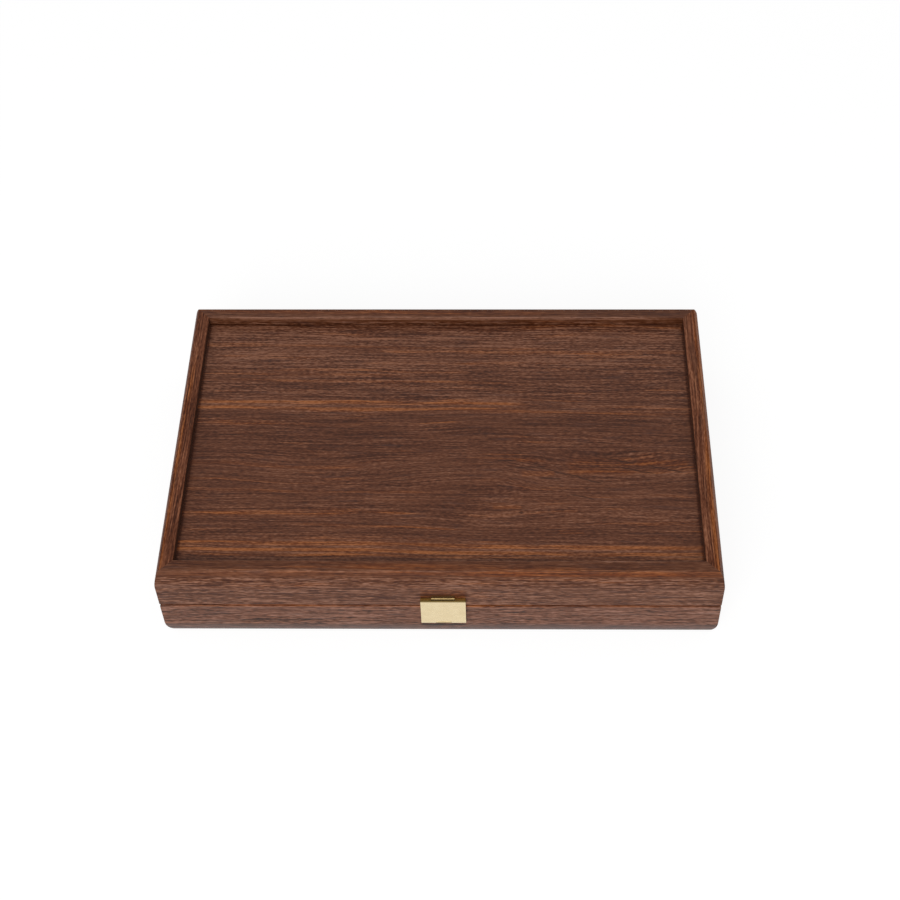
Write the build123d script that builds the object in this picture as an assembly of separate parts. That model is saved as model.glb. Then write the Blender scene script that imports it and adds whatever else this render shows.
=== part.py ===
from build123d import *
import os

# A wooden backgammon case, shut. Two matching trays are hinged at the back and held by a
# brass clasp at the front. The playing field is inlaid in both trays, and the checkers and
# dice lie in the lower one.
# Millimetres. +X runs along the case, +Y towards the hinges and +Z up. The origin is on the
# table, under the middle of the case.

# The case
case_length = 300.0
case_depth = 194.0
tray_height = 28.0  # each tray, from its outer face to its rim; the rims meet

# The moulding that the rails are cut from
rail_width = 10.0
round_inset = 3.1  # how far the round outer face leans in at the outer edge
round_height = 11.9  # the height of that rounding
edge_ease = 0.45  # rounding of the sharp edges
rim_ease = 0.4  # rounding of the rim's outer edge
parting_depth = 1.3  # the groove that runs round the case between the trays
parting_height = 0.8  # each tray's half of that groove

# The panel, in layers from the outside in
recess_depth = 5.5
veneer_thickness = 0.6
core_thickness = 3.0
groove_depth = 4.0  # how far the panel runs into the rails
panel_gap = 0.1  # play of the panel in its groove

# The playing field
points_per_end = 6
point_gap = 1.5  # between the bases of neighbours
point_length = 120.0
inlay_gap = 0.05

# The hinges
hinge_inset = 55.0  # from the case's end to the middle of the nearer hinge
hinge_length = 30.0
leaf_width = 8.0  # from the back face inwards
leaf_thickness = 1.0
barrel_radius = 2.4
barrel_overhang = 0.4  # from the back face out to the pin's axis
knuckle_count = 5
knuckle_gap = 0.1
hinge_pin_radius = 1.1
hinge_head_radius = 1.7
hinge_head_height = 0.5
running_gap = 0.05  # pin to bore
barrel_gap = 0.3  # turning knuckles to what is round them
mortise_gap = 0.1

# The screws of the hinges
screws_per_leaf = 2
screw_spacing = 17.0
screw_radius = 1.0
screw_head_radius = 1.9
screw_head_height = 0.8
screw_length = 8.0
screw_point_length = 2.0
screw_tip_radius = 0.25
screw_slot_width = 0.5
screw_slot_depth = 0.45
screw_gap = 0.05

# The clasp
latch_offset = 1.8  # its middle, to the right of the case's middle
latch_width = 24.1
latch_bottom = 14.3
latch_top = 35.5
latch_proud = 2.4
latch_sheet = 0.8
latch_edge_ease = 0.2
latch_fold_radius = 1.0  # where the sheet folds over at its upper edge
latch_knuckle_radius = 1.1
latch_knuckle_width = 8.0
latch_pin_radius = 0.5
latch_pin_inset = 0.2
latch_turning_gap = 0.15
latch_plate_width = 18.0
latch_plate_thickness = 0.5
latch_plate_drop = 1.2  # from the rim down to the plate's upper edge
latch_brad_spacing = 12.0
latch_brad_drop = 3.5  # from that edge down to the nails

# The strike on the lid
strike_width = 12.3
strike_rise = 1.6  # how far its tongue stands above the flap
strike_thickness = 0.7
tongue_thickness = 1.4
tongue_height = 5.0
strike_lift = 1.2  # from the lid's rim up to its lower edge
strike_brad_spacing = 7.0
strike_brad_lift = 1.4  # from that edge up to the nails
snap_height = 0.1
snap_radius = 0.35
snap_width = 7.0
snap_drop = 1.7  # from the flap's upper edge down to the snap

# The small nails of the clasp
brad_radius = 0.5
brad_head_radius = 0.95
brad_head_height = 0.4
brad_length = 5.0

# The checkers and dice
checkers_per_row = 5
checker_play = 3.0  # by how much a checker is narrower than its point's room
checker_thickness = 8.0
checker_ease = 1.4
checker_dish_radius = 8.5
checker_dish_depth = 0.5
checker_wall_gap = 1.0
checker_gap = 1.0
die_size = 10.0
die_ease = 1.3
pip_radius = 0.95
pip_depth = 0.35
pip_spacing = 2.6
dice_clear = 9.0  # from the checkers to the first die
dice_spread = 34.0
dice_turns = (24.0, -17.0)
# How the cube is turned to bring each count up; opposite faces add up to seven
die_faces = {
    1: (0, 0, 0),
    2: (90, 0, 0),
    3: (0, 90, 0),
    4: (0, -90, 0),
    5: (-90, 0, 0),
    6: (180, 0, 0),
}

# Places that follow from the sizes
half_length = case_length / 2
half_depth = case_depth / 2
inner_half_length = half_length - rail_width
inner_half_depth = half_depth - rail_width
core_bottom = recess_depth + veneer_thickness
core_top = core_bottom + core_thickness
field_height = core_top + veneer_thickness
point_pitch = 2 * inner_half_depth / points_per_end
point_width = point_pitch - point_gap
checker_diameter = point_pitch - checker_play
hinge_places = {"left": hinge_inset - half_length, "right": half_length - hinge_inset}
hinge_axis_y = half_depth + barrel_overhang
knuckle_pitch = hinge_length / knuckle_count
leaf_front_y = half_depth - leaf_width
screw_y = (leaf_front_y + hinge_axis_y - barrel_radius) / 2
latch_pin_height = latch_bottom + latch_knuckle_radius
latch_pin_proud = latch_proud - latch_knuckle_radius
latch_inner_proud = latch_proud - latch_sheet
latch_plate_top = tray_height - latch_plate_drop
strike_bottom = tray_height + strike_lift
strike_top = latch_top + strike_rise


def in_lid(piece):
    # The lid is the lower tray's mirror image above the rim.
    if isinstance(piece, list):
        return [in_lid(shape) for shape in piece]
    return mirror(piece, about=Plane.XY.offset(tray_height))


def rod(radius, x_low, x_high, y, z):
    # A round bar along X.
    middle = (x_low + x_high) / 2
    return Pos(middle, y, z) * Rot(0, 90, 0) * Cylinder(radius, x_high - x_low)


def post(radius, x, y, z_low, z_high):
    # A round bar along Z.
    return Pos(x, y, (z_low + z_high) / 2) * Cylinder(radius, z_high - z_low)


def block(x_low, x_high, y_low, y_high, z_low, z_high):
    size = Box(x_high - x_low, y_high - y_low, z_high - z_low)
    return Pos((x_low + x_high) / 2, (y_low + y_high) / 2, (z_low + z_high) / 2) * size


def corner(face, x, y):
    return face.vertices().sort_by_distance((x, y, 0))[0]


def moulding():
    # x is the distance in from the widest line, y the height above the tray's outer face.
    lip = rail_width - groove_depth
    brink = tray_height - parting_height
    rounding = TangentArc((0, round_height), (round_inset, 0), tangent=(0, -1))
    straight = Polyline(
        (round_inset, 0),
        (rail_width, 0),
        (rail_width, recess_depth),
        (lip, recess_depth),
        (lip, field_height + panel_gap),
        (rail_width, field_height + panel_gap),
        (rail_width, tray_height),
        (parting_depth, tray_height),
        (parting_depth, brink),
        (0, brink),
        (0, round_height),
    )
    face = make_face([rounding, straight])
    for place in ((round_inset, 0), (rail_width, 0), (rail_width, tray_height)):
        face = fillet(corner(face, *place), edge_ease)
    return fillet(corner(face, 0, brink), rim_ease)


def front_rail(length, reach):
    # A rail along X whose widest line lies at y = -reach, with both ends mitred.
    half = length / 2
    start = Plane(origin=(-half, -reach, 0), x_dir=(0, 1, 0), z_dir=(1, 0, 0))
    bar = extrude(start * moulding(), length)
    inner = rail_width - reach
    plan = Polyline(
        (-half, -reach), (half, -reach), (half - rail_width, inner), (rail_width - half, inner),
        close=True,
    )
    return bar & extrude(make_face(plan), tray_height)


def tray_rails():
    long_rail = front_rail(case_length, half_depth)
    short_rail = front_rail(case_depth, half_length)
    return {
        "front_rail": long_rail,
        "right_rail": Rot(0, 0, 90) * short_rail,
        "back_rail": Rot(0, 0, 180) * long_rail,
        "left_rail": Rot(0, 0, -90) * short_rail,
    }


def panel_layer(z_low, z_high):
    reach = groove_depth - panel_gap
    half_x = inner_half_length + reach
    half_y = inner_half_depth + reach
    return block(-half_x, half_x, -half_y, half_y, z_low, z_high)


def point_outlines(first_is_light):
    # The points stand on the short walls and taper inwards. Neighbours differ in colour,
    # and so do points that face each other.
    light, dark = [], []
    for end in (-1, 1):
        base_x = end * inner_half_length
        for number in range(points_per_end):
            middle = (number + 0.5) * point_pitch - inner_half_depth
            outline = Polyline(
                (base_x, middle - point_width / 2),
                (base_x, middle + point_width / 2),
                (base_x - end * point_length, middle),
                close=True,
            )
            is_light = (number % 2 == 0) == (first_is_light == (end < 0))
            (light if is_light else dark).append(make_face(outline))
    return light, dark


def inlay(faces):
    return [extrude(Pos(0, 0, core_top) * face, veneer_thickness) for face in faces]


def field_sheet(faces):
    sheet = panel_layer(core_top, field_height)
    for face in faces:
        opening = offset(face, inlay_gap, kind=Kind.INTERSECTION)
        sheet -= extrude(Pos(0, 0, core_top) * opening, veneer_thickness)
    return sheet


def screw_places(hinge_x):
    first = hinge_x - screw_spacing * (screws_per_leaf - 1) / 2
    return [first + screw_spacing * number for number in range(screws_per_leaf)]


def screw(x, grown=0.0):
    # Countersunk flush with the rim. Grown, it is the hole that it goes in.
    head_low = tray_height - screw_head_height
    tip = tray_height - screw_length
    neck = screw_radius + grown
    head = Pos(x, screw_y, head_low + screw_head_height / 2) * Cone(
        neck, screw_head_radius + grown, screw_head_height
    )
    shank = post(neck, x, screw_y, tip + screw_point_length, head_low)
    nose = Pos(x, screw_y, tip + screw_point_length / 2) * Cone(
        screw_tip_radius + grown, neck, screw_point_length
    )
    whole = head + shank + nose
    if grown:
        return whole
    half_slot = screw_slot_width / 2
    return whole - block(
        x - screw_head_radius, x + screw_head_radius, screw_y - half_slot, screw_y + half_slot,
        tray_height - screw_slot_depth, tray_height,
    )


def knuckle_span(hinge_x, number):
    low = hinge_x - hinge_length / 2 + number * knuckle_pitch
    return low + knuckle_gap / 2, low + knuckle_pitch - knuckle_gap / 2


def leaf_plate(hinge_x, grown=0.0):
    half = hinge_length / 2 + grown
    return block(
        hinge_x - half, hinge_x + half, leaf_front_y - grown, hinge_axis_y,
        tray_height - leaf_thickness, tray_height,
    )


def hinge_leaf(hinge_x, own_knuckles):
    # The leaf as it lies in the lower tray's rim. The pin's axis is on the parting line.
    leaf = leaf_plate(hinge_x)
    for number in range(knuckle_count):
        span = knuckle_span(hinge_x, number)
        if number in own_knuckles:
            leaf += rod(barrel_radius, *span, hinge_axis_y, tray_height)
        else:
            low, high = span[0] - knuckle_gap, span[1] + knuckle_gap
            leaf -= rod(barrel_radius + barrel_gap, low, high, hinge_axis_y, tray_height)
    half = hinge_length / 2
    bore_radius = hinge_pin_radius + running_gap
    leaf -= rod(bore_radius, hinge_x - half, hinge_x + half, hinge_axis_y, tray_height)
    for x in screw_places(hinge_x):
        leaf -= screw(x, screw_gap)
    return leaf


def hinge_pin(hinge_x):
    half = hinge_length / 2
    reach = half + hinge_head_height
    pin = rod(hinge_pin_radius, hinge_x - half, hinge_x + half, hinge_axis_y, tray_height)
    for low, high in ((-reach, -half), (half, reach)):
        pin += rod(hinge_head_radius, hinge_x + low, hinge_x + high, hinge_axis_y, tray_height)
    return pin


def hinge_room(hinge_x):
    # What is cut out of a back rail for one hinge.
    reach = hinge_length / 2 + hinge_head_height + barrel_gap
    room = leaf_plate(hinge_x, mortise_gap)
    room += rod(
        barrel_radius + barrel_gap, hinge_x - reach, hinge_x + reach,
        hinge_axis_y, tray_height,
    )
    for x in screw_places(hinge_x):
        room += screw(x, screw_gap)
    return room


def across_latch(outline, width):
    # The outline's x is the distance out from the case's front face, its y the height.
    side = Plane(
        origin=(latch_offset + width / 2, -half_depth, 0), x_dir=(0, -1, 0), z_dir=(-1, 0, 0)
    )
    return extrude(side * outline, width)


def upright(out_low, out_high, z_low, z_high):
    middle = Pos((out_low + out_high) / 2, (z_low + z_high) / 2)
    return middle * Rectangle(out_high - out_low, z_high - z_low)


def latch_round(radius):
    return Pos(latch_pin_proud, latch_pin_height) * Circle(radius)


def latch_flap():
    back = latch_pin_proud - latch_knuckle_radius
    outline = upright(back, latch_proud, latch_pin_height, latch_top)
    outline += latch_round(latch_knuckle_radius)
    outline = fillet(corner(outline, latch_proud, latch_top), latch_fold_radius)
    cover = across_latch(outline, latch_width)
    ends = cover.faces().filter_by(Axis.X)
    front_edges = [
        edge for edge in ends.edges() if edge.center().Y < -half_depth - latch_pin_proud
    ]
    cover = fillet(front_edges, latch_edge_ease)

    knuckle_top = latch_pin_height + latch_knuckle_radius
    hollow = upright(0, latch_inner_proud, knuckle_top, latch_top - latch_sheet)
    cover -= across_latch(hollow, latch_width - 2 * latch_sheet)
    notch = upright(0, latch_inner_proud, latch_top - 2 * latch_sheet, latch_top)
    cover -= across_latch(notch, strike_width + 2 * latch_turning_gap)
    middle = upright(0, latch_proud, latch_bottom, knuckle_top + latch_turning_gap)
    cover -= across_latch(middle, latch_knuckle_width + 2 * knuckle_gap)
    cover -= across_latch(latch_round(latch_pin_radius + running_gap), latch_width)
    dent = Pos(latch_inner_proud, latch_top - snap_drop) * Circle(snap_radius)
    return cover - across_latch(dent, snap_width + 2 * latch_turning_gap)


def latch_base_plate():
    low = latch_pin_height + latch_knuckle_radius + latch_turning_gap
    plate = across_latch(upright(0, latch_plate_thickness, low, latch_plate_top), latch_plate_width)
    neck = upright(0, latch_plate_thickness, latch_pin_height, low)
    plate += across_latch(neck + latch_round(latch_knuckle_radius), latch_knuckle_width)
    plate -= across_latch(latch_round(latch_pin_radius + running_gap), latch_knuckle_width)
    return plate - brad_holes(latch_brads())


def latch_pin():
    return across_latch(latch_round(latch_pin_radius), latch_width - 2 * latch_pin_inset)


def latch_strike():
    outline = upright(0, strike_thickness, strike_bottom, strike_top)
    outline += upright(0, tongue_thickness, strike_top - tongue_height, strike_top)
    outline = fillet(corner(outline, tongue_thickness, strike_top), latch_edge_ease)
    strike = across_latch(outline, strike_width)
    centre = tongue_thickness + snap_height - snap_radius
    bead = Pos(centre, latch_top - snap_drop) * Circle(snap_radius)
    strike += across_latch(bead, snap_width)
    return strike - brad_holes(strike_brads())


def brad(x, z, seat, grown=0.0):
    # A nail driven into the front face, its round head on a plate as thick as seat.
    front = Plane(origin=(x, -half_depth - seat, z), x_dir=(1, 0, 0), z_dir=(0, 1, 0))
    shank = extrude(front * Circle(brad_radius + grown), brad_length)
    if grown:
        return shank
    head = extrude(front * Circle(brad_head_radius), -brad_head_height)
    outer = head.edges().sort_by(Axis.Y)[0]
    return shank + fillet(outer, brad_head_height / 2)


def latch_brads():
    z = latch_plate_top - latch_brad_drop
    half = latch_brad_spacing / 2
    return [(latch_offset + side * half, z, latch_plate_thickness) for side in (-1, 1)]


def strike_brads():
    z = strike_bottom + strike_brad_lift
    half = strike_brad_spacing / 2
    return [(latch_offset + side * half, z, strike_thickness) for side in (-1, 1)]


def brad_holes(places):
    return [brad(*place, grown=running_gap) for place in places]


def checker():
    radius = checker_diameter / 2
    disc = Cylinder(radius, checker_thickness)
    disc = fillet(disc.edges(), checker_ease)
    for side in (-1, 1):
        middle = side * (checker_thickness - checker_dish_depth) / 2
        rim = Pos(0, 0, middle) * Cylinder(checker_dish_radius, checker_dish_depth)
        disc -= rim
    return disc


def checker_row(number):
    y = (number + 0.5) * point_pitch - inner_half_depth
    first = checker_diameter / 2 + checker_wall_gap - inner_half_length
    step = checker_diameter + checker_gap
    height = field_height + checker_thickness / 2
    return [Pos(first + step * place, y, height) * checker() for place in range(checkers_per_row)]


def pip_places(count):
    far = pip_spacing
    places = []
    if count % 2:
        places.append((0, 0))
    if count > 1:
        places += [(-far, -far), (far, far)]
    if count > 3:
        places += [(-far, far), (far, -far)]
    if count == 6:
        places += [(-far, 0), (far, 0)]
    return places


def die():
    # A sphere of this radius leaves a dimple of the pip's radius and depth.
    ball = (pip_radius**2 + pip_depth**2) / (2 * pip_depth)
    lift = die_size / 2 + ball - pip_depth
    cube = fillet(Box(die_size, die_size, die_size).edges(), die_ease)
    for count, turn in die_faces.items():
        for x, y in pip_places(count):
            cube -= Rot(*turn) * Pos(x, y, lift) * Sphere(ball)
    return cube


def placed_die(number):
    row_end = checkers_per_row * (checker_diameter + checker_gap) + checker_wall_gap
    x = row_end - inner_half_length + dice_clear
    y = (number - 0.5) * dice_spread
    return Pos(x, y, field_height + die_size / 2) * Rot(0, 0, dice_turns[number]) * die()


def tray(first_is_light):
    # The pieces of a tray as they lie in the lower one.
    pieces = tray_rails()
    for hinge_x in hinge_places.values():
        pieces["back_rail"] -= hinge_room(hinge_x)
    light, dark = point_outlines(first_is_light)
    return pieces | {
        "outer_veneer": panel_layer(recess_depth, core_bottom),
        "panel_core": panel_layer(core_bottom, core_top),
        "field_veneer": field_sheet(light + dark),
        "light_points": inlay(light),
        "dark_points": inlay(dark),
    }


def trays():
    pieces = {f"base_{name}": piece for name, piece in tray(True).items()}
    pieces |= {f"lid_{name}": in_lid(piece) for name, piece in tray(False).items()}
    pieces["base_front_rail"] -= brad_holes(latch_brads())
    pieces["lid_front_rail"] -= brad_holes(strike_brads())
    return pieces


def hinges():
    pieces = {}
    base_knuckles = range(0, knuckle_count, 2)
    lid_knuckles = range(1, knuckle_count, 2)
    screws = []
    for side, x in hinge_places.items():
        pieces[f"hinge_{side}_base_leaf"] = hinge_leaf(x, base_knuckles)
        pieces[f"hinge_{side}_lid_leaf"] = in_lid(hinge_leaf(x, lid_knuckles))
        pieces[f"hinge_{side}_pin"] = hinge_pin(x)
        screws += [screw(place) for place in screw_places(x)]
    pieces["hinge_base_screws"] = screws
    pieces["hinge_lid_screws"] = in_lid(screws)
    return pieces


def clasp():
    return {
        "latch_base_plate": latch_base_plate(),
        "latch_flap": latch_flap(),
        "latch_pin": latch_pin(),
        "latch_base_brads": [brad(*place) for place in latch_brads()],
        "latch_strike": latch_strike(),
        "latch_strike_brads": [brad(*place) for place in strike_brads()],
    }


def contents():
    pieces = {}
    for number in range(points_per_end):
        colour = "light" if number < points_per_end / 2 else "dark"
        row = number % (points_per_end // 2) + 1
        pieces[f"{colour}_checkers_row_{row}"] = checker_row(number)
    for number in range(2):
        pieces[f"die_{number + 1}"] = placed_die(number)
    return pieces


os.makedirs("parts", exist_ok=True)
for name, piece in (trays() | hinges() | clasp() | contents()).items():
    shape = Compound(children=piece) if isinstance(piece, list) else piece
    export_step(shape, f"parts/{name}.step")
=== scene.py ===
import math

import bmesh
import bpy
from mathutils import Euler, Matrix, Vector


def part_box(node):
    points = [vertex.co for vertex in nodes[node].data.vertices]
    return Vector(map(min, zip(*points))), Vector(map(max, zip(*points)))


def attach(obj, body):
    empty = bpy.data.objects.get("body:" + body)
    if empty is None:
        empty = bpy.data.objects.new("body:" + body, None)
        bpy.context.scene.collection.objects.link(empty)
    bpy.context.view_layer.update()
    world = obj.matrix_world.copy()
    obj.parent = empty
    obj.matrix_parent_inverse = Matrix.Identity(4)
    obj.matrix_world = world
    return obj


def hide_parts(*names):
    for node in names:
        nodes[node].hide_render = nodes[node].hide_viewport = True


# A wooden backgammon case with a brass clasp. Metres: x runs along the case,
# y towards the hinges and z up from the table. Patterns are set out in millimetres.

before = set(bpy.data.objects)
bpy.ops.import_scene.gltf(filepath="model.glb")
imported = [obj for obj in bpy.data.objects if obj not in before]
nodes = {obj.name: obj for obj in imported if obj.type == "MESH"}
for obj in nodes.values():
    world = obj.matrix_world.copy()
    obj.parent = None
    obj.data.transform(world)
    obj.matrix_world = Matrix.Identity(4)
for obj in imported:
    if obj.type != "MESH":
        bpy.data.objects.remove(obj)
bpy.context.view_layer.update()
scene = bpy.context.scene
mm = 0.001
print("frame loaded:", len(nodes), "pieces")


# Node trees: a Value is a socket that can be used in an expression

class Value:
    def __init__(self, tree, socket):
        self.tree = tree
        self.socket = socket

    def math(self, operation, *others):
        inputs = dict(enumerate((self, *others)))
        return self.tree.node("ShaderNodeMath", {"operation": operation}, inputs)

    def __add__(self, other):
        return self.math("ADD", other)

    __radd__ = __add__

    def __mul__(self, other):
        return self.math("MULTIPLY", other)

    def __sub__(self, other):
        return self.math("SUBTRACT", other)

    def __rsub__(self, other):
        return self.math("MULTIPLY_ADD", -1, other)

    def __truediv__(self, other):
        return self.math("DIVIDE", other)

    def size(self):
        return self.math("ABSOLUTE")

    def most(self, other):
        return self.math("MAXIMUM", other)

    def least(self, other):
        return self.math("MINIMUM", other)

    def step(self, low, high):  # 0 at low, 1 at high, smooth between
        settings = {"interpolation_type": "SMOOTHSTEP"}
        inputs = {"Value": self, "From Min": low, "From Max": high}
        return self.tree.node("ShaderNodeMapRange", settings, inputs)


class Tree:
    def __init__(self, tree):
        self.tree = tree
        tree.nodes.clear()

    def node(self, kind, settings=None, inputs=None, output=0):
        made = self.tree.nodes.new(kind)
        for key, value in (settings or {}).items():
            if key == "stops":
                self.setStops(made.color_ramp, value)
            else:
                setattr(made, key, value)
        for key, value in (inputs or {}).items():
            if isinstance(value, Value):
                self.tree.links.new(value.socket, made.inputs[key])
            else:
                made.inputs[key].default_value = value
        if len(made.outputs):
            return Value(self, made.outputs[output])

    def setStops(self, ramp, stops):
        while len(ramp.elements) < len(stops):
            ramp.elements.new(0.5)
        for element, (place, colour) in zip(ramp.elements, stops):
            element.position = place
            element.color = srgb(colour)


class Finish(Tree):
    def __init__(self, name):
        self.material = bpy.data.materials.new(name)
        self.material.use_nodes = True
        super().__init__(self.material.node_tree)

    def millimetres(self, turn=(0, 0, 0), centre=(0, 0, 0)):
        spot = self.node("ShaderNodeTexCoord", output="Object")
        inputs = {"Vector": spot, "Scale": (1 / mm,) * 3, "Rotation": turn, "Location": centre}
        return self.split(self.node("ShaderNodeMapping", {}, inputs))

    def split(self, vector):
        parts = self.node("ShaderNodeSeparateXYZ", {}, {0: vector})
        return [Value(self, output) for output in parts.socket.node.outputs]

    def noise(self, x, y, z, detail, roughness=0.5):  # about -1 to 1
        place = self.node("ShaderNodeCombineXYZ", {}, {0: x, 1: y, 2: z})
        inputs = {"Vector": place, "Scale": 1.0, "Detail": detail, "Roughness": roughness}
        return (self.node("ShaderNodeTexNoise", {}, inputs) - 0.5) * 3

    def marks(self, spot, sizes, detail, roughness=0.5):  # noise with marks of these sizes
        return self.noise(*(part / size for part, size in zip(spot, sizes)), detail, roughness)

    def ramp(self, value, stops):
        return self.node("ShaderNodeValToRGB", {"stops": stops}, {"Fac": value})

    def blend(self, mask, below, above):
        inputs = {0: mask, 6: below, 7: above}
        return self.node("ShaderNodeMix", {"data_type": "RGBA"}, inputs, output=2)

    def bump(self, height, distance):
        return self.node("ShaderNodeBump", {}, {"Height": height, "Distance": distance})

    def surface(self, inputs):
        shader = self.node("ShaderNodeBsdfPrincipled", {}, inputs)
        self.node("ShaderNodeOutputMaterial", {}, {"Surface": shader})
        return self.material


def srgb(colour):  # screen values of 0 to 255
    shares = [value / 255 for value in colour]
    return (*[v / 12.92 if v < 0.04 else ((v + 0.055) / 1.055) ** 2.4 for v in shares], 1)


# Wood: fibres, growth lines, pores and warm streaks, all drawn out along the grain

# What every wood shares. A pair of edges is where a mark starts and where it is full, or
# where it starts to fade and has gone. A fade is half the length over which a mark ends
grain = {
    "edges": {
        "fibre": (-0.6, 0.6), "pore": (0.4, 0.7), "line": (0.6, 0.9), "ash": (0.1, 1),
        "warm": (0.2, 1.1), "box": (0.75, 1), "band": (0.5, 1), "streak": (0.1, 1),
        "corner": (0.2, 1), "vein": (0.15, 0.75), "veinEnd": (0.6, 1),
    },
    "fades": {"band": 12, "streak": 14},
    "noiseRoughness": 0.55,
    "patchLife": 0.4,
    "cornerShade": 0.45,
    "warmShares": (0.7, 0.7, 0.5),  # of growth, strand and patch, for the wood's warmth
    "warmFibre": 0.9,
    "warmStrand": 0.8,
    "warmLevel": 0.95,
    "streakTone": 0.07,
    "lineShare": 0.8,
    "wander": (9, 8, 0.6),  # length, width and reach
    "veinShare": 0.72,
    "fibreHeight": 0.4,
    "strandHeight": 0.2,
    "fibreDull": 0.05,
    "poreDull": 0.12,
}


def wood(looks, along, across, depth, paint):
    edges = grain["edges"]
    flow = across + along * looks["slope"]
    for length, width, reach in looks["waves"]:
        flow = flow + paint.noise(along / length, across / width, depth / width, 1) * reach
    for x, y, length, width, reach in looks.get("swells", []):
        away = (along - x) * (along - x) / length ** 2 + (across - y) * (across - y) / width ** 2
        flow = flow + (1 - away.step(0, 1)) * reach

    def drawnOut(kind, detail=1):
        length, width = looks[kind]
        return paint.noise(along / length, flow / width, depth / width, detail, grain["noiseRoughness"])

    def within(centre, halves):  # 1 in a box, 0 outside it
        spots = [((place - middle).size() / half).step(*edges["box"])
                 for place, middle, half in zip((along, across, depth), centre, halves)]
        return 1 - spots[0].most(spots[1]).most(spots[2])

    def strip(kind, place, half, low, high):  # 1 along a line of the grain, from low to high
        fade = grain["fades"][kind]
        middle = 1 - ((flow - place).size() / half).step(*edges[kind])
        return middle * ((along - low).step(-fade, fade) * (high - along).step(-fade, fade))

    crisp = drawnOut("fibre").step(*edges["fibre"]) - 0.5
    fleck = drawnOut("fleck")
    strand = drawnOut("strand")
    growth = drawnOut("growth", 2)
    board = drawnOut("board")
    patch = drawnOut("patch")
    lively = patch * grain["patchLife"] + 1
    for centre, halves, share in looks.get("calm", []):
        lively = lively * (1 - within(centre, halves) * share)
    fine = sum(part * share for part, share in zip((crisp, fleck, strand), looks["fineShares"]))
    tone = fine * lively + growth * looks["growthShare"] + board * looks["boardShare"] + 0.5
    for place, half, change, low, high in looks.get("bands", []):
        tone = tone + strip("band", place, half, low, high) * change
    if "corner" in looks:  # painted shade where the panel meets the rails
        halfLength, halfWidth, width = looks["corner"]
        gap = (halfLength - along.size()).least(halfWidth - across.size())
        tone = tone - (1 - (gap / width).step(*edges["corner"])) * grain["cornerShade"]

    warmth = sum(part * share for part, share in zip((growth, strand, patch), grain["warmShares"]))
    warmth = warmth.step(*edges["warm"]) * looks["warmth"]
    ashen = drawnOut("ash").step(*edges["ash"]) * looks["ashShare"]
    # boxes of changed tone, warmth and grey: real stains, and painted shade and light on the rails
    for centre, halves, change, warming, greying in looks.get("stains", []):
        tinted = within(centre, halves)
        tone = tone + tinted * change
        warmth = warmth + tinted * warming
        ashen = ashen + tinted * greying
    for place, half, strength, low, high in looks.get("warmStreaks", []):
        streak = strip("streak", place, half, low, high) * strength
        warmth = warmth + streak
        tone = tone + streak * grain["streakTone"]
    uneven = crisp * grain["warmFibre"] + strand * grain["warmStrand"] + grain["warmLevel"]
    warmth = (warmth * uneven).most(0).least(1)
    colour = paint.ramp(tone, looks["tones"])
    colour = paint.blend(warmth, colour, paint.ramp(tone, looks["warmTones"]))
    colour = paint.blend(ashen.least(1), colour, srgb(looks["ashColour"]))

    pore = drawnOut("pore").step(*edges["pore"])
    deep = drawnOut("line").step(*edges["line"]) * grain["lineShare"]
    marks = pore.most(deep) * looks["poreStrength"]
    length, width, reach = grain["wander"]
    wander = across + paint.noise(along / length, across / width, depth, 1) * reach
    for x, y, half, slope in looks.get("veins", []):  # thin dark lines that leave the grain
        away = (wander - y - (along - x) * slope).size()
        ends = ((along - x).size() / half).step(*edges["veinEnd"])
        vein = (1 - away.step(*edges["vein"])) * (1 - ends)
        marks = marks.most(vein * grain["veinShare"])
    colour = paint.blend(marks, colour, srgb(looks["poreColour"]))

    height = crisp * grain["fibreHeight"] + strand * grain["strandHeight"] - marks
    roughness = looks["roughness"] + crisp * grain["fibreDull"] + marks * grain["poreDull"]
    return paint.surface({
        "Base Color": colour,
        "Roughness": roughness,
        "Normal": paint.bump(height, looks["relief"] * mm),
        "Specular IOR Level": looks["shine"],
    })


lengthways = (0, 0, 0)
crossways = (0, 0, math.radians(-90))


def solidWood(name, looks, turn=lengthways, centre=(0, 0, 0)):
    paint = Finish(name)
    along, across, depth = paint.millimetres(turn, centre)
    return wood(looks, along, across, depth, paint)


logReach = (190, 37, 71)  # how far the cuts lie apart in the log, at most


def turnedWood(name, looks):
    # Each turned piece carries its own axes in an attribute, and its place in the log
    paint = Finish(name)
    spot = paint.node("ShaderNodeAttribute", {"attribute_name": "logPlace"}, output="Vector")
    cut = paint.node("ShaderNodeAttribute", {"attribute_name": "logCut"}, output="Fac")
    x, y, z = [part / mm + cut * reach for part, reach in zip(paint.split(spot), logReach)]
    return wood(looks, x, y, z, paint)


walnut = {
    "slope": 0.012,
    "waves": [(90, 30, 1.6), (40, 12, 0.12)],  # length, width and reach
    "fibre": (28, 0.62),  # length and width of a mark
    "fleck": (2.8, 0.6),
    "strand": (34, 1.5),
    "growth": (150, 4.2),
    "board": (320, 17),
    "patch": (60, 8),
    "fineShares": (0.74, 0.68, 0.13),  # of fibre, fleck and strand
    "growthShare": 0.11,
    "boardShare": 0.09,
    "tones": [(0.05, (58, 25, 8)), (0.3, (80, 42, 24)), (0.5, (97, 56, 36)),
              (0.7, (114, 71, 50)), (0.95, (140, 95, 73))],
    "warmTones": [(0.05, (70, 27, 4)), (0.3, (95, 43, 12)), (0.5, (117, 61, 25)),
                  (0.7, (138, 78, 38)), (0.95, (165, 102, 60))],
    "warmth": 0.55,
    "ash": (22, 2.4),
    "ashShare": 0.5,
    "ashColour": (72, 47, 41),
    "pore": (4.5, 0.65),
    "line": (55, 1.1),
    "poreStrength": 0.6,
    "poreColour": (44, 21, 12),
    "roughness": 0.46,
    "relief": 0.05,
    "shine": 0.2,
}

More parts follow.
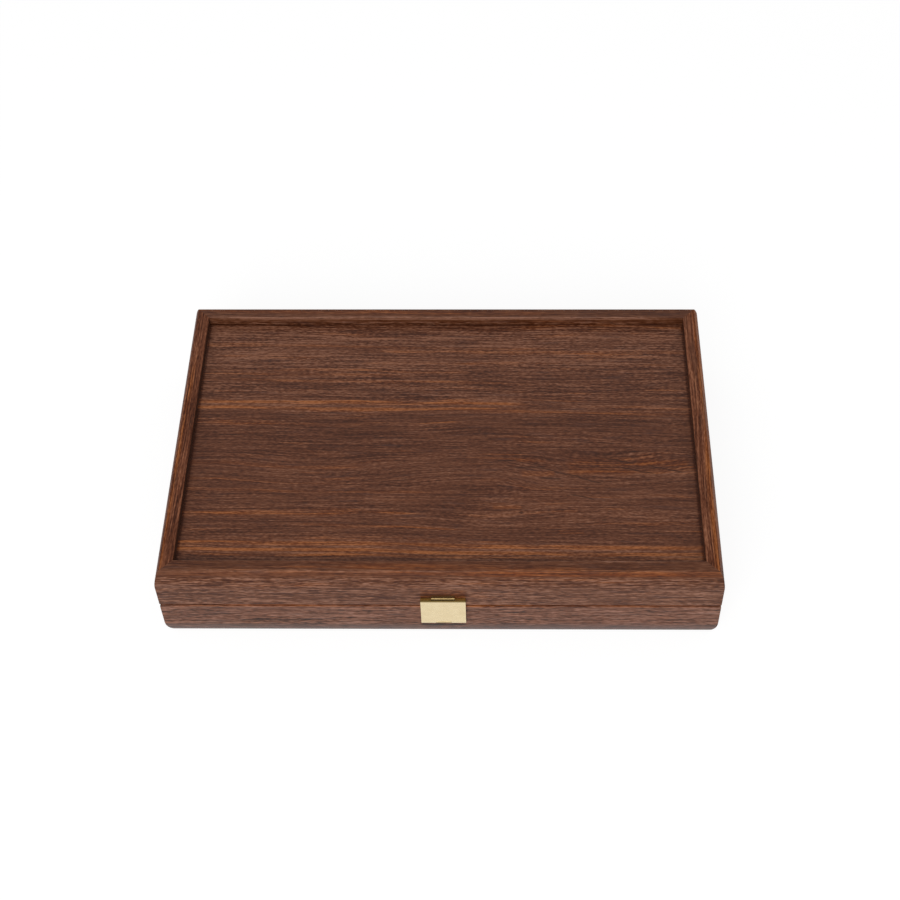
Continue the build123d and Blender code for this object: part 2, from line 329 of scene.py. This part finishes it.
lidPanel = walnut | {
    "corner": (140, 87, 1.8),  # half length, half width and reach of the painted shade
    "swells": [  # place along and across, length, width and reach
        (88, -24, 60, 17, 5.0),
        (18, -26, 48, 14, -3.0),
        (-75, -24, 55, 18, 2.5),
        (60, 8, 80, 14, -2.5),
        (40, -60, 60, 10, 2.0),
    ],
    "bands": [  # place across, half width, change of tone and two ends
        (-1, 22, -0.10, -150, 150),
        (-42, 12, -0.05, -20, 150),
        (-63, 8, -0.08, -150, 150),
        (69, 18, 0.08, -150, 150),
        (-76.5, 6, 0.16, -150, 150),
        (23, 5, 0.07, -150, 50),
        (34, 8, -0.05, -150, 150),
    ],
    "calm": [  # middle, half sizes and the share of the pattern taken away
        ((0, -28, 56), (300, 62, 30), 0.4),
        ((0, 60, 56), (300, 40, 30), 0.13),
    ],
    "veins": [  # middle along and across, half length and slope
        (48, -20.6, 11, 0.04),
        (65, -24.2, 14, -0.28),
        (81, -29.5, 8, -0.3),
        (98, -16, 9, -0.25),
        (108, -23, 11, -0.25),
        (123, -21.6, 12, -0.22),
        (60, -28.2, 7, -0.08),
        (77, -41, 8, -0.28),
        (36, -15.6, 7, 0.02),
    ],
    "stains": [  # middle and half sizes, then the change of tone, of warmth and of grey
        ((87, -20, 50), (20, 7, 5), 0, 0.3, 0),
        ((122, -17.5, 50), (16, 2.5, 5), 0, 0.45, 0),
        ((49, -15.4, 50), (9, 1.6, 5), 0.06, 0.4, 0),
        ((53, -25, 50), (10, 2, 5), 0.03, 0.4, 0),
        ((36, -48, 50), (9, 1.6, 5), 0.03, 0.3, 0),
        ((67, -50, 50), (8, 1.8, 5), 0.03, 0.3, 0),
        ((70, -64.5, 50), (8, 1.4, 5), 0.05, 0.35, 0),
    ],
    "warmStreaks": [  # place across, half width, strength and two ends
        (68.5, 1.3, 0.4, -150, 60),
        (65.5, 2.2, 0.4, -40, 140),
        (49.5, 1.4, 0.45, -150, 10),
        (46.5, 1.3, 0.4, -150, -20),
        (41.8, 1.4, 0.45, -150, 40),
        (25.2, 1.8, 0.8, -150, 45),
        (20.8, 1.8, 0.8, -150, 45),
        (18.6, 1.6, 0.5, 20, 150),
        (-19, 2.0, 0.35, -150, -50),
        (-18, 2.4, 0.4, 75, 150),
        (-30, 1.3, 0.35, -150, -80),
        (-37.5, 1.6, 0.4, -150, -10),
        (-53, 3.5, 0.35, -150, -60),
        (-73.2, 2.0, 1.0, -150, 150),
        (-77.6, 1.8, 1.0, -150, 150),
        (-80.6, 1.4, 0.6, -150, 150),
    ],
}

longRail = walnut | {
    "waves": [(90, 30, 0.8), (45, 12, 0.06)],
    "fleck": (4.2, 0.6),
    "warmth": 0.5,
    "growthShare": 0.08,
    "boardShare": 0.05,
}

# Painted light and shade on the lid's rails: a shadow above the clasp with warm bounce light over it,
# highlights along the edges, shade on the rounding below the front edge and light in the parting groove
claspX = 1.8
lidRail = longRail | {
    "tones": [(0.05, (61, 25, 6)), (0.3, (81, 42, 21)), (0.5, (97, 56, 34)),
              (0.7, (113, 72, 51)), (0.95, (139, 97, 77))],
    "stains": [
        # painted shadow above the clasp, then painted warm bounce light from the brass above it
        ((claspX, -97, 37.6), (15, 2, 2), -0.55, 0.2, 0),
        ((claspX, -97, 40.6), (13, 2, 3), -0.08, 0.4, 0),
        # painted highlights along the back rail's inner edge, the front rail's inner edge and its outer
        # top edge
        ((0, 87.2, 56), (142, 0.8, 2), 0.4, 0, 0),
        ((0, -87.1, 56), (142, 0.8, 2), 0.12, 0, 0),
        ((0, -93.6, 56), (160, 0.9, 1), 0.22, 0.15, 0),
        # painted shade on the rounding below the front top edge; the next line only warms its right half
        ((0, -95.2, 54.6), (160, 1.4, 1.6), -0.12, 0.15, 0),
        ((90, -95.2, 54.6), (90, 1.4, 1.6), 0.03, 0.6, 0),
        # painted light in the parting groove, lifting its shade
        ((0, -96.5, 28.2), (160, 3, 0.9), 0.45, 0.6, 0),
        ((90, -96.5, 28.2), (90, 3, 0.9), 0.35, 0.5, 0),
    ],
    "bands": [(-90.5, 4.5, -0.14, -150, 150), (93, 6, -0.14, -150, 150)],
    "calm": [((0, -90.5, 56), (300, 6, 4), 0.55), ((0, 92, 56), (300, 9, 4), 0.5)],
    "warmStreaks": [(-91, 2.6, 0.8, -42, 0), (-91.5, 2.4, 0.5, -5, 75), (91, 3, 0.4, -150, 60)],
}

baseRail = longRail | {
    # the darkest stop, at 0, darkens the painted shadow under the clasp
    "tones": [(0, (30, 13, 6)), (0.05, (71, 37, 21)), (0.3, (91, 54, 36)), (0.5, (107, 67, 49)),
              (0.7, (122, 81, 63)), (0.95, (145, 104, 87))],
    # grey of the ash marks, also used for the painted floor reflection along the bottom
    "ashColour": (86, 67, 63),
    "stains": [
        # painted shadow under the clasp plate
        ((claspX, -97, 12.4), (13.4, 2, 4), -0.6, -0.5, -1.5),
        # darker and greyer towards the bottom: painted shade and painted reflection of the floor
        ((0, -97, 3), (300, 6, 8), -0.12, -0.3, 0.4),
        # painted light in the parting groove, lifting its shade
        ((0, -96.5, 27.6), (160, 3, 0.8), 0.2, 0.5, 0),
    ],
}

sideRail = walnut | {
    "tones": [(0.05, (58, 28, 16)), (0.3, (86, 46, 28)), (0.5, (104, 60, 40)),
              (0.7, (124, 76, 53)), (0.95, (152, 101, 74))],
    "bands": [(-145, 12, 0.10, -150, 150), (145, 12, -0.06, -150, 150)],  # right rail, left rail
    "stains": [  # the right mitre darkened in tone, then painted shade on the two inner walls
        ((-93, -145, 56), (9, 8, 8), -0.14, 0, 0),
        ((0, 140.2, 52.8), (100, 0.9, 2.4), -0.6, 0, 0.3),
        ((0, -140.2, 52.8), (100, 0.9, 2.4), -0.6, 0, 0.3),
    ],
    "warmStreaks": [
        (-147, 2.8, 0.9, -100, 100),
        (145.2, 1.3, 0.6, -100, 45),
        (148.2, 1.1, 0.4, -100, 0),
    ],
    "fineShares": (0.62, 0.35, 0.12),
    "warmth": 0.5,
    "ashShare": 0.35,
    "ashColour": (60, 46, 38),
    "poreStrength": 0.35,
    "roughness": 0.6,
    "shine": 0.1,
}

paleWood = walnut | {
    "growth": (170, 3.2),
    "fineShares": (0.3, 0.15, 0.15),
    "growthShare": 0.16,
    "tones": [(0.15, (168, 130, 88)), (0.4, (193, 156, 110)), (0.55, (205, 170, 124)),
              (0.7, (216, 184, 140)), (0.9, (229, 202, 163))],
    "warmTones": [(0.1, (158, 114, 66)), (0.5, (196, 149, 96)), (0.9, (220, 180, 130))],
    "warmth": 0.3,
    "poreStrength": 0.45,
    "poreColour": (140, 104, 68),
    "roughness": 0.42,
}

blackWood = walnut | {
    "growth": (160, 2.8),
    "tones": [(0.15, (22, 16, 14)), (0.4, (33, 24, 20)), (0.55, (42, 30, 25)),
              (0.7, (52, 38, 31)), (0.9, (70, 52, 42))],
    "warmTones": [(0.1, (34, 22, 16)), (0.5, (62, 42, 31)), (0.9, (84, 60, 46))],
    "warmth": 0.2,
    "poreColour": (16, 12, 11),
    "poreStrength": 0.7,
}

fieldWood = walnut | {
    "tones": [(0.15, (86, 52, 34)), (0.4, (112, 71, 48)), (0.55, (126, 83, 57)),
              (0.7, (140, 95, 67)), (0.9, (158, 112, 82))],
    "warmTones": [(0.1, (104, 60, 34)), (0.5, (146, 94, 58)), (0.9, (176, 122, 82))],
    "warmth": 0.3,
}


# The board in the trays, pressed from chips and dust. Marks give their sizes in x, y and z

pressedChips = {
    "chips": (1.4, 1.4, 0.5), "chipShare": 0.3, "dust": (0.3, 0.3, 0.3), "dustShare": 0.2,
    "tones": [(0.2, (112, 84, 58)), (0.8, (158, 125, 90))],
    "roughness": 0.85, "dustDull": 0.05, "relief": 0.05, "shine": 0.2,
}


def pressedBoard(looks):
    paint = Finish("pressed_board")
    spot = paint.millimetres()
    chips = paint.marks(spot, looks["chips"], 3)
    dust = paint.marks(spot, looks["dust"], 1)
    tone = chips * looks["chipShare"] + dust * looks["dustShare"] + 0.5
    return paint.surface({
        "Base Color": paint.ramp(tone, looks["tones"]),
        "Roughness": looks["roughness"] + dust * looks["dustDull"],
        "Normal": paint.bump(chips + dust, looks["relief"] * mm),
        "Specular IOR Level": looks["shine"],
    })


# Brass: satin on the clasp, brushed and a little dulled on the hinges

# What every brass shares. Marks give their sizes in x, y and z
metal = {
    "lines": (9, 0.16, 0.16), "specks": (0.35, 0.35, 0.35), "cloud": (5, 4, 4),
    "tarnish": (0.6, 0.15, 0.2), "tarnishLevel": 0.45,  # shares of cloud, lines and specks
    "scratch": (14, 0.25, 0.4), "scratchLean": (3, 22), "scratchEdges": (1.0, 1.15),
    "cloudDull": 0.05, "scratchDull": 0.1,
    "lineHeight": 0.6, "speckHeight": 0.4, "relief": 0.006,
}
claspBrass = {
    "bright": (232, 214, 175), "dull": (221, 201, 160), "roughness": 0.27, "brush": 0.03,
    "fold": (-99.4, 34.5), "foldSoft": 0.1,  # the face's y and the fold's height
    # the fold's and the top's colours are painted shade, darker than the brass
    "foldDepths": (0.02, 0.14), "foldShadeColour": (88, 72, 42), "foldDull": 0.2,
    "topDepths": (0.75, 1.05), "topShadeColour": (176, 138, 72),
}
knuckleBrass = {"bright": (200, 180, 142), "dull": (182, 160, 120), "roughness": 0.5, "brush": 0.05}
# the strike's brass is darker than the clasp's: painted shade on the strike
shadedStrikeBrass = {"bright": (184, 159, 110), "dull": (140, 116, 72), "roughness": 0.34, "brush": 0.05}
hingeBrass = {"bright": (222, 188, 122), "dull": (188, 150, 92), "roughness": 0.3, "brush": 0.09}
screwBrass = {"bright": (226, 194, 130), "dull": (170, 134, 80), "roughness": 0.24, "brush": 0.05}


def brass(name, looks):
    paint = Finish(name)
    x, y, z = paint.millimetres()
    lines = paint.marks((x, y, z), metal["lines"], 2)
    specks = paint.marks((x, y, z), metal["specks"], 1)
    cloud = paint.marks((x, y, z), metal["cloud"], 3, 0.6)
    tarnish = sum(part * share for part, share in zip((cloud, lines, specks), metal["tarnish"]))
    tarnish = (tarnish + metal["tarnishLevel"]).most(0).least(1)
    length, width, height = metal["scratch"]
    lean, drift = metal["scratchLean"]
    scratch = paint.noise(x / length + z / lean, y / width, z / height + x / drift, 1)
    scratch = scratch.step(*metal["scratchEdges"])
    colour = paint.blend(tarnish, srgb(looks["bright"]), srgb(looks["dull"]))
    roughness = looks["roughness"] + lines * looks["brush"]
    roughness = roughness + cloud * metal["cloudDull"] + scratch * metal["scratchDull"]
    if "fold" in looks:  # painted shade and a painted reflection of the dark wood where the sheet turns back behind its face: darker on the fold and on the top, and the fold duller
        face, foldHeight = looks["fold"]
        raised = (z - foldHeight).step(-looks["foldSoft"], looks["foldSoft"])
        fold = (y - face).step(*looks["foldDepths"]) * raised
        top = (y - face).step(*looks["topDepths"]) * raised
        colour = paint.blend(fold, colour, srgb(looks["foldShadeColour"]))
        colour = paint.blend(top, colour, srgb(looks["topShadeColour"]))
        roughness = roughness + fold * looks["foldDull"]
    relief = lines * metal["lineHeight"] + specks * metal["speckHeight"] - scratch
    return paint.surface({
        "Base Color": colour,
        "Metallic": 1.0,
        "Roughness": roughness,
        "Normal": paint.bump(relief, metal["relief"] * mm),
    })


# The dice's bone and the paint in their pips

bone = {
    "cloud": (4, 4, 4), "cloudShare": 0.3, "fleck": (0.5, 0.5, 0.5), "fleckShare": 0.12,
    "tones": [(0.2, (224, 212, 186)), (0.8, (242, 235, 217))],
    "roughness": 0.26, "cloudDull": 0.05, "relief": 0.01,
    "glow": 0.15, "glowReach": (1.0, 0.7, 0.45),
}
pipColour = {
    "fleck": (0.25, 0.25, 0.25), "fleckShare": 0.4,
    "tones": [(0.1, (20, 16, 15)), (0.9, (42, 34, 31))],
    "roughness": 0.35, "fleckDull": 0.08, "relief": 0.01,
}


def dieBone(looks):
    paint = Finish("die_bone")
    spot = paint.millimetres()
    cloud = paint.marks(spot, looks["cloud"], 3)
    fleck = paint.marks(spot, looks["fleck"], 2)
    tone = cloud * looks["cloudShare"] + fleck * looks["fleckShare"] + 0.5
    return paint.surface({
        "Base Color": paint.ramp(tone, looks["tones"]),
        "Roughness": looks["roughness"] + cloud * looks["cloudDull"],
        "Normal": paint.bump(fleck, looks["relief"] * mm),
        "Subsurface Weight": looks["glow"],
        "Subsurface Radius": looks["glowReach"],
        "Subsurface Scale": mm,
    })


def pipPaint(looks):
    paint = Finish("pip_paint")
    fleck = paint.marks(paint.millimetres(), looks["fleck"], 2)
    return paint.surface({
        "Base Color": paint.ramp(fleck * looks["fleckShare"] + 0.5, looks["tones"]),
        "Roughness": looks["roughness"] + fleck * looks["fleckDull"],
        "Normal": paint.bump(fleck, looks["relief"] * mm),
    })


finishes = {
    "lidRails": solidWood("walnut_lid_rails", lidRail),
    "baseRails": solidWood("walnut_base_rails", baseRail),
    "railsAcross": solidWood("walnut_side_rails", sideRail, crossways),
    "lidPanel": solidWood("walnut_panel", lidPanel),
    "underPanel": solidWood("walnut_underside", walnut, lengthways, (40, 260, 90)),
    "field": solidWood("field_wood", fieldWood, lengthways, (10, 15, 300)),
    "paleInlay": solidWood("pale_inlay", paleWood, lengthways, (70, 25, 500)),
    "darkInlay": solidWood("dark_inlay", blackWood, lengthways, (20, 45, 700)),
    "board": pressedBoard(pressedChips),
    "clasp": brass("clasp_brass", claspBrass),
    "knuckle": brass("knuckle_brass", knuckleBrass),
    "strike": brass("strike_brass_shaded", shadedStrikeBrass),
    "hinge": brass("hinge_brass", hingeBrass),
    "screw": brass("screw_brass", screwBrass),
    "die": dieBone(bone),
    "pip": pipPaint(pipColour),
    "paleChecker": turnedWood("pale_checker", paleWood),
    "darkChecker": turnedWood("dark_checker", blackWood),
}

# The first part of a name that fits gives a piece its finish
finishOf = {
    "lid_outer_veneer": "lidPanel", "base_outer_veneer": "underPanel",
    "lid_front_rail": "lidRails", "lid_back_rail": "lidRails",
    "base_front_rail": "baseRails", "base_back_rail": "baseRails",
    "left_rail": "railsAcross", "right_rail": "railsAcross",
    "panel_core": "board", "field_veneer": "field",
    "light_points": "paleInlay", "dark_points": "darkInlay",
    "leaf": "hinge", "hinge_left_pin": "hinge", "hinge_right_pin": "hinge",
    "screws": "screw", "latch_strike": "strike", "latch_base_plate": "knuckle",
    "latch": "clasp", "die_": "die",
    "light_checkers": "paleChecker", "dark_checkers": "darkChecker",
}

for name, piece in nodes.items():
    chosen = next(finish for part, finish in finishOf.items() if part in name)
    piece.data.materials.clear()
    piece.data.materials.append(finishes[chosen])
print("finishes made:", len(finishes))


# Geometry Nodes: copies of one form on given places

def plainObject(name, verts, faces=()):
    mesh = bpy.data.meshes.new(name)
    mesh.from_pydata([tuple(v) for v in verts], [], faces)
    made = bpy.data.objects.new(name, mesh)
    scene.collection.objects.link(made)
    return made


def instancer(name):
    group = bpy.data.node_groups.new(name, "GeometryNodeTree")
    tree = Tree(group)
    kinds = {"Places": "NodeSocketGeometry", "Form": "NodeSocketObject",
             "Finish": "NodeSocketMaterial", "Seed": "NodeSocketInt", "Turn": "NodeSocketFloat"}
    for label, kind in kinds.items():
        group.interface.new_socket(label, in_out="INPUT", socket_type=kind)
    group.interface.new_socket("Geometry", in_out="OUTPUT", socket_type="NodeSocketGeometry")
    start = tree.node("NodeGroupInput").socket.node.outputs
    places, source, finish, seed, turn = [Value(tree, start[label]) for label in kinds]

    def chance(high):  # 0 to high, another for each copy
        inputs = {2: 0.0, 3: high, 8: seed}
        return tree.node("FunctionNodeRandomValue", {"data_type": "FLOAT"}, inputs, output=1)

    form = tree.node("GeometryNodeObjectInfo", {}, {"Object": source}, output="Geometry")
    facing = tree.node("GeometryNodeInputNamedAttribute", {"data_type": "FLOAT_VECTOR"},
                       {"Name": "facing"})
    upright = tree.node("FunctionNodeAlignRotationToVector", {"axis": "Z"}, {"Vector": facing})
    angle = tree.node("ShaderNodeCombineXYZ", {}, {2: chance(turn)})
    turned = tree.node("FunctionNodeRotateRotation", {"rotation_space": "LOCAL"},
                       {"Rotation": upright, "Rotate By": angle})
    copies = tree.node("GeometryNodeInstanceOnPoints", {},
                       {"Points": places, "Instance": form, "Rotation": turned})
    settings = {"data_type": "FLOAT", "domain": "INSTANCE"}
    marked = tree.node("GeometryNodeStoreNamedAttribute", settings,
                       {"Geometry": copies, "Name": "logCut", "Value": chance(1.0)})
    whole = tree.node("GeometryNodeRealizeInstances", {}, {"Geometry": marked})
    dressed = tree.node("GeometryNodeSetMaterial", {}, {"Geometry": whole, "Material": finish})
    tree.node("NodeGroupOutput", {}, {0: dressed})
    return group


copier = instancer("copies_on_places")


def copiesOf(name, form, places, facings, material, seed, turn=0.0):
    points = plainObject(name + "_places", places)
    facing = points.data.attributes.new("facing", "FLOAT_VECTOR", "POINT")
    for item, direction in zip(facing.data, facings):
        item.vector = direction
    grower = points.modifiers.new("copies", "NODES")
    grower.node_group = copier
    values = {"Form": form, "Finish": material, "Seed": seed, "Turn": turn}
    for item in copier.interface.items_tree:
        if item.name in values:
            grower[item.identifier] = values[item.name]
    points.update_tag()
    ready = points.evaluated_get(bpy.context.evaluated_depsgraph_get())
    mesh = bpy.data.meshes.new_from_object(ready)
    mesh.name = name
    made = bpy.data.objects.new(name, mesh)
    scene.collection.objects.link(made)
    bpy.data.objects.remove(points)
    return made


# The checkers, turned with a dish, a low boss and two fine rings on each face

checkerForm = {
    "radius": 13.0, "half": 4.0, "ease": 1.4, "easeSteps": 8, "flatEnd": 0.3,
    "dish": 8.4, "dishSlope": 0.9, "dishDepth": 0.5, "boss": (1.5, 5.5), "bossRise": 0.3,
    "rings": (9.5, 10.3), "ringDepth": 0.16, "ringHalf": 0.22,
    "spots": (0.02, 0.8, 1.5, 2.5, 3.5, 4.5, 5.5, 7.5, 7.75, 8.0, 8.2, 8.4),
    "segments": 72,
}
checkerRow = {"step": 27 * mm, "count": 5, "turn": 2 * math.pi}


def smooth(low, high, value):
    share = min(max((value - low) / (high - low), 0), 1)
    return share * share * (3 - 2 * share)


def checkerHeight(r):
    form = checkerForm
    dish = form["dishDepth"] * (1 - smooth(form["dish"] - form["dishSlope"], form["dish"], r))
    boss = form["bossRise"] * (1 - smooth(*form["boss"], r))
    cuts = sum(max(0, 1 - abs(r - ring) / form["ringHalf"]) for ring in form["rings"])
    return form["half"] - dish + boss - cuts * form["ringDepth"]


def checkerProfile():
    form = checkerForm
    flat = form["radius"] - form["ease"]
    spots = list(form["spots"])
    for ring in form["rings"]:
        spots += [ring - form["ringHalf"], ring, ring + form["ringHalf"]]
    upper = [(r, checkerHeight(r)) for r in spots + [flat - form["flatEnd"]]]
    for number in range(form["easeSteps"] + 1):
        angle = math.radians(90 - number * 90 / form["easeSteps"])
        upper.append((flat + form["ease"] * math.cos(angle),
                      form["half"] - form["ease"] + form["ease"] * math.sin(angle)))
    return upper + [(r, -z) for r, z in reversed(upper)]


def turnedForm(name, profile, segments):
    shape = bmesh.new()
    rings = []
    for r, z in profile:
        ring = []
        for number in range(segments):
            angle = 2 * math.pi * number / segments
            ring.append(shape.verts.new((r * mm * math.cos(angle), r * mm * math.sin(angle), z * mm)))
        rings.append(ring)
    for inner, outer in zip(rings, rings[1:]):
        for number in range(segments):
            after = (number + 1) % segments
            shape.faces.new((inner[number], outer[number], outer[after], inner[after]))
    shape.faces.new(rings[0])
    shape.faces.new(list(reversed(rings[-1])))
    bmesh.ops.recalc_face_normals(shape, faces=shape.faces)
    for face in shape.faces:
        face.smooth = True
    mesh = bpy.data.meshes.new(name)
    shape.to_mesh(mesh)
    shape.free()
    logPlace = mesh.attributes.new("logPlace", "FLOAT_VECTOR", "POINT")
    for item, vertex in zip(logPlace.data, mesh.vertices):
        item.vector = vertex.co
    made = bpy.data.objects.new(name, mesh)
    scene.collection.objects.link(made)
    return made


checker = turnedForm("checker_form", checkerProfile(), checkerForm["segments"])
for name in [name for name in nodes if "checkers_row" in name]:
    low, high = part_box(name)
    first = low.x + checkerForm["radius"] * mm
    y = (low.y + high.y) / 2
    z = (low.z + high.z) / 2
    places = [Vector((first + checkerRow["step"] * n, y, z)) for n in range(checkerRow["count"])]
    facings = [(0, 0, 1)] * len(places)
    finish = finishes["paleChecker" if "light" in name else "darkChecker"]
    seed = list(nodes).index(name)
    row = copiesOf(name + "_turned", checker, places, facings, finish, seed, checkerRow["turn"])
    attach(row, "base")
    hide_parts(name)
bpy.data.objects.remove(checker)
print("checkers turned")


# The dice's pips, a drop of paint in each dimple

dice = {
    "size": 10.0, "turns": {"die_1": 24, "die_2": -17}, "spacing": 2.6, "seed": 3,
    "faces": {1: (0, 0, 0), 2: (90, 0, 0), 3: (0, 90, 0), 4: (0, -90, 0), 5: (-90, 0, 0), 6: (180, 0, 0)},
}
pip = {"radius": 0.9, "depth": 0.33, "paint": 0.05, "backing": 1.6, "tip": 0.01, "steps": 6,
       "segments": 20}


def pipSpots(count):
    far = dice["spacing"]
    spots = [(0, 0)] if count % 2 else []
    if count > 1:
        spots += [(-far, -far), (far, far)]
    if count > 3:
        spots += [(-far, far), (far, -far)]
    if count == 6:
        spots += [(-far, 0), (far, 0)]
    return spots


def pipProfile():
    ball = (pip["radius"] ** 2 + pip["depth"] ** 2) / (2 * pip["depth"])
    steep = math.asin(pip["radius"] / ball)
    upper = []
    for number in range(pip["steps"] + 1):
        angle = steep * number / pip["steps"]
        height = ball * (1 - math.cos(angle)) - pip["depth"] + pip["paint"]
        upper.append((max(ball * math.sin(angle), pip["tip"]), height))
    return upper + [(r, z - pip["paint"] * pip["backing"]) for r, z in reversed(upper)]


drop = turnedForm("pip_form", pipProfile(), pip["segments"])
places = []
facings = []
for name, angle in dice["turns"].items():
    low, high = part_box(name)
    stand = Matrix.Translation((low + high) / 2) @ Matrix.Rotation(math.radians(angle), 4, "Z")
    for count, turn in dice["faces"].items():
        side = Euler([math.radians(a) for a in turn]).to_matrix().to_4x4()
        for x, y in pipSpots(count):
            places.append(stand @ side @ Vector((x * mm, y * mm, dice["size"] / 2 * mm)))
            facings.append((stand.to_3x3() @ side.to_3x3()) @ Vector((0, 0, 1)))
pips = copiesOf("dice_pips", drop, places, facings, finishes["pip"], dice["seed"])
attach(pips, "base")
bpy.data.objects.remove(drop)
print("pips painted:", len(places))


# Floor, light and camera

stage = {
    "floorHalf": 6.0, "floor": 0.9, "glow": 1.1, "lift": 0.8, "around": 0.5,
    "lamp": (-0.25, -1.42, 1.07), "lampAim": (0, 0, 0.03), "lampWidth": 1.1, "lampPower": 16.5,
}


def seenDirectly(tree):  # by the camera, or through gloss and glass
    seen = [tree.node("ShaderNodeLightPath", output=label)
            for label in ("Is Camera Ray", "Is Glossy Ray", "Is Transmission Ray")]
    return seen[0].most(seen[1]).most(seen[2])


def floorPiece():
    half = stage["floorHalf"]
    corners = [(-half, -half, 0), (half, -half, 0), (half, half, 0), (-half, half, 0)]
    floor = plainObject("floor", corners, [(0, 1, 2, 3)])
    paint = Finish("pale_floor")
    shade = (stage["floor"],) * 3 + (1,)
    matt = paint.node("ShaderNodeBsdfDiffuse", {}, {"Color": shade})
    glow = paint.node("ShaderNodeEmission", {}, {"Color": (1, 1, 1, 1), "Strength": stage["glow"]})
    inputs = {0: seenDirectly(paint) * stage["lift"], 1: matt, 2: glow}
    mixed = paint.node("ShaderNodeMixShader", {}, inputs)
    paint.node("ShaderNodeOutputMaterial", {}, {"Surface": mixed})
    floor.data.materials.append(paint.material)


def surroundings():
    world = bpy.data.worlds.new("studio")
    scene.world = world
    world.use_nodes = True
    tree = Tree(world.node_tree)
    seen = seenDirectly(tree)
    strength = seen + (1 - seen) * stage["around"]
    light = tree.node("ShaderNodeBackground", {}, {"Color": (1, 1, 1, 1), "Strength": strength})
    tree.node("ShaderNodeOutputWorld", {}, {"Surface": light})


def softLamp():
    data = bpy.data.lights.new("front_light", "AREA")
    data.shape = "DISK"
    data.size = stage["lampWidth"]
    data.energy = stage["lampPower"]
    lamp = bpy.data.objects.new("front_light", data)
    lamp.location = stage["lamp"]
    aim = Vector(stage["lampAim"]) - Vector(stage["lamp"])
    lamp.rotation_euler = aim.to_track_quat("-Z", "Y").to_euler()
    scene.collection.objects.link(lamp)


floorPiece()
surroundings()
softLamp()

viewpoint = {"place": (0.03015, -0.57723, 0.76336), "down": 51.415, "left": 0.749, "roll": 0.068,
             "lens": 65.53, "sensor": 36, "shift": (-0.028, 0.0), "near": 0.01}
lens = bpy.data.cameras.new("photo_camera")
lens.lens = viewpoint["lens"]
lens.sensor_width = viewpoint["sensor"]
lens.shift_x, lens.shift_y = viewpoint["shift"]
lens.clip_start = viewpoint["near"]
camera = bpy.data.objects.new("photo_camera", lens)
camera.location = viewpoint["place"]
turns = [Matrix.Rotation(math.radians(angle), 3, axis) for angle, axis in
         ((90 - viewpoint["down"], "X"), (viewpoint["left"], "Y"), (viewpoint["roll"], "Z"))]
camera.rotation_euler = (turns[0] @ turns[1] @ turns[2]).to_euler()
scene.collection.objects.link(camera)
scene.camera = camera
scene.view_settings.view_transform = "Standard"
print("stage set")
